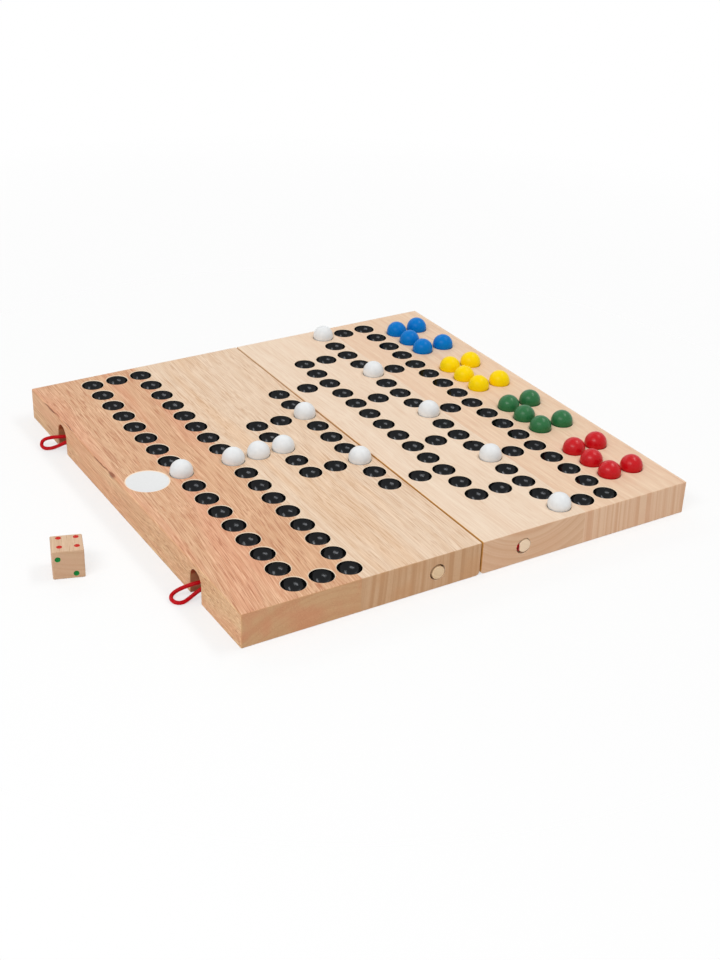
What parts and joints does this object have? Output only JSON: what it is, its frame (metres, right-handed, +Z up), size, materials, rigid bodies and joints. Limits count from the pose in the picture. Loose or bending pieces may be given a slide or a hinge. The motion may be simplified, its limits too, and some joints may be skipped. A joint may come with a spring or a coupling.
{
  "type": "barricade board game",
  "caption": "Square folding wooden board game with round dishes, loose balls and a die; an elastic hinge joins two hollow halves, and elastic loops close them over pegs.",
  "frame": {"origin": "on the table plane, in the middle of the underside of the left half's hinge rail; the fold line is 8.3 mm to the right of it, along Y", "axes": "+Z up, +Y to the back edge, +X to the half with the four houses; the seam runs along Y"},
  "size_m": [0.3428, 0.28, 0.0276],
  "materials": {
    "reddish_board": "satin",
    "pale_board_left": "satin",
    "pale_board_middle": "satin",
    "pale_board_right": "satin",
    "dowel": "matt",
    "peg_wood": "satin",
    "die_wood": "satin",
    "red_elastic": "braided",
    "paint_white": "gloss paint",
    "paint_blue": "satin paint",
    "paint_yellow": "satin paint",
    "paint_green": "satin paint",
    "paint_red": "satin paint"
  },
  "bodies": {
    "left_half": {"left_outer_plank": "reddish_board", "left_inner_plank": "pale_board_left", "plug_front_left": "dowel", "plug_back_left": "dowel", "hinge_elastic_front": "red_elastic", "hinge_elastic_back": "red_elastic", "loop_front": "red_elastic", "loop_back": "red_elastic", "loop_knot_front": "red_elastic", "loop_knot_back": "red_elastic"},
    "right_half": {"right_inner_plank": "pale_board_middle", "right_outer_plank": "pale_board_right", "plug_front_right": "dowel", "plug_back_right": "dowel", "peg_front": "peg_wood", "peg_back": "peg_wood"},
    "die": {"die": "die_wood"},
    "ball_blue_1": {"ball_blue_1": "paint_blue"},
    "ball_blue_2": {"ball_blue_2": "paint_blue"},
    "ball_blue_3": {"ball_blue_3": "paint_blue"},
    "ball_blue_4": {"ball_blue_4": "paint_blue"},
    "ball_blue_5": {"ball_blue_5": "paint_blue"},
    "ball_green_1": {"ball_green_1": "paint_green"},
    "ball_green_2": {"ball_green_2": "paint_green"},
    "ball_green_3": {"ball_green_3": "paint_green"},
    "ball_green_4": {"ball_green_4": "paint_green"},
    "ball_green_5": {"ball_green_5": "paint_green"},
    "ball_red_1": {"ball_red_1": "paint_red"},
    "ball_red_2": {"ball_red_2": "paint_red"},
    "ball_red_3": {"ball_red_3": "paint_red"},
    "ball_red_4": {"ball_red_4": "paint_red"},
    "ball_red_5": {"ball_red_5": "paint_red"},
    "ball_white_1": {"ball_white_1": "paint_white"},
    "ball_white_10": {"ball_white_10": "paint_white"},
    "ball_white_11": {"ball_white_11": "paint_white"},
    "ball_white_2": {"ball_white_2": "paint_white"},
    "ball_white_3": {"ball_white_3": "paint_white"},
    "ball_white_4": {"ball_white_4": "paint_white"},
    "ball_white_5": {"ball_white_5": "paint_white"},
    "ball_white_6": {"ball_white_6": "paint_white"},
    "ball_white_7": {"ball_white_7": "paint_white"},
    "ball_white_8": {"ball_white_8": "paint_white"},
    "ball_white_9": {"ball_white_9": "paint_white"},
    "ball_yellow_1": {"ball_yellow_1": "paint_yellow"},
    "ball_yellow_2": {"ball_yellow_2": "paint_yellow"},
    "ball_yellow_3": {"ball_yellow_3": "paint_yellow"},
    "ball_yellow_4": {"ball_yellow_4": "paint_yellow"},
    "ball_yellow_5": {"ball_yellow_5": "paint_yellow"}
  },
  "joints": [
    {"name": "fold", "type": "hinge", "parent": "left_half", "child": "right_half", "pos_m": [0.0083, 0, -0.0001], "axis": [0, 1, 0], "range_deg": [0, 180], "deforming": ["hinge_elastic_front", "hinge_elastic_back"]},
    {"name": "die_lift", "type": "slide", "parent": "left_half", "child": "die", "axis": [0, 0, 1], "range_m": [0, 0.05]},
    {"name": "ball_blue_1_lift", "type": "slide", "parent": "right_half", "child": "ball_blue_1", "axis": [0, 0, 1], "range_m": [0, 0.03]},
    {"name": "ball_blue_2_lift", "type": "slide", "parent": "right_half", "child": "ball_blue_2", "axis": [0, 0, 1], "range_m": [0, 0.03]},
    {"name": "ball_blue_3_lift", "type": "slide", "parent": "right_half", "child": "ball_blue_3", "axis": [0, 0, 1], "range_m": [0, 0.03]},
    {"name": "ball_blue_4_lift", "type": "slide", "parent": "right_half", "child": "ball_blue_4", "axis": [0, 0, 1], "range_m": [0, 0.03]},
    {"name": "ball_blue_5_lift", "type": "slide", "parent": "right_half", "child": "ball_blue_5", "axis": [0, 0, 1], "range_m": [0, 0.03]},
    {"name": "ball_green_1_lift", "type": "slide", "parent": "right_half", "child": "ball_green_1", "axis": [0, 0, 1], "range_m": [0, 0.03]},
    {"name": "ball_green_2_lift", "type": "slide", "parent": "right_half", "child": "ball_green_2", "axis": [0, 0, 1], "range_m": [0, 0.03]},
    {"name": "ball_green_3_lift", "type": "slide", "parent": "right_half", "child": "ball_green_3", "axis": [0, 0, 1], "range_m": [0, 0.03]},
    {"name": "ball_green_4_lift", "type": "slide", "parent": "right_half", "child": "ball_green_4", "axis": [0, 0, 1], "range_m": [0, 0.03]},
    {"name": "ball_green_5_lift", "type": "slide", "parent": "right_half", "child": "ball_green_5", "axis": [0, 0, 1], "range_m": [0, 0.03]},
    {"name": "ball_red_1_lift", "type": "slide", "parent": "right_half", "child": "ball_red_1", "axis": [0, 0, 1], "range_m": [0, 0.03]},
    {"name": "ball_red_2_lift", "type": "slide", "parent": "right_half", "child": "ball_red_2", "axis": [0, 0, 1], "range_m": [0, 0.03]},
    {"name": "ball_red_3_lift", "type": "slide", "parent": "right_half", "child": "ball_red_3", "axis": [0, 0, 1], "range_m": [0, 0.03]},
    {"name": "ball_red_4_lift", "type": "slide", "parent": "right_half", "child": "ball_red_4", "axis": [0, 0, 1], "range_m": [0, 0.03]},
    {"name": "ball_red_5_lift", "type": "slide", "parent": "right_half", "child": "ball_red_5", "axis": [0, 0, 1], "range_m": [0, 0.03]},
    {"name": "ball_white_1_lift", "type": "slide", "parent": "right_half", "child": "ball_white_1", "axis": [0, 0, 1], "range_m": [0, 0.03]},
    {"name": "ball_white_10_lift", "type": "slide", "parent": "left_half", "child": "ball_white_10", "axis": [0, 0, 1], "range_m": [0, 0.03]},
    {"name": "ball_white_11_lift", "type": "slide", "parent": "left_half", "child": "ball_white_11", "axis": [0, 0, 1], "range_m": [0, 0.03]},
    {"name": "ball_white_2_lift", "type": "slide", "parent": "right_half", "child": "ball_white_2", "axis": [0, 0, 1], "range_m": [0, 0.03]},
    {"name": "ball_white_3_lift", "type": "slide", "parent": "right_half", "child": "ball_white_3", "axis": [0, 0, 1], "range_m": [0, 0.03]},
    {"name": "ball_white_4_lift", "type": "slide", "parent": "right_half", "child": "ball_white_4", "axis": [0, 0, 1], "range_m": [0, 0.03]},
    {"name": "ball_white_5_lift", "type": "slide", "parent": "right_half", "child": "ball_white_5", "axis": [0, 0, 1], "range_m": [0, 0.03]},
    {"name": "ball_white_6_lift", "type": "slide", "parent": "left_half", "child": "ball_white_6", "axis": [0, 0, 1], "range_m": [0, 0.03]},
    {"name": "ball_white_7_lift", "type": "slide", "parent": "left_half", "child": "ball_white_7", "axis": [0, 0, 1], "range_m": [0, 0.03]},
    {"name": "ball_white_8_lift", "type": "slide", "parent": "left_half", "child": "ball_white_8", "axis": [0, 0, 1], "range_m": [0, 0.03]},
    {"name": "ball_white_9_lift", "type": "slide", "parent": "left_half", "child": "ball_white_9", "axis": [0, 0, 1], "range_m": [0, 0.03]},
    {"name": "ball_yellow_1_lift", "type": "slide", "parent": "right_half", "child": "ball_yellow_1", "axis": [0, 0, 1], "range_m": [0, 0.03]},
    {"name": "ball_yellow_2_lift", "type": "slide", "parent": "right_half", "child": "ball_yellow_2", "axis": [0, 0, 1], "range_m": [0, 0.03]},
    {"name": "ball_yellow_3_lift", "type": "slide", "parent": "right_half", "child": "ball_yellow_3", "axis": [0, 0, 1], "range_m": [0, 0.03]},
    {"name": "ball_yellow_4_lift", "type": "slide", "parent": "right_half", "child": "ball_yellow_4", "axis": [0, 0, 1], "range_m": [0, 0.03]},
    {"name": "ball_yellow_5_lift", "type": "slide", "parent": "right_half", "child": "ball_yellow_5", "axis": [0, 0, 1], "range_m": [0, 0.03]}
  ]
}
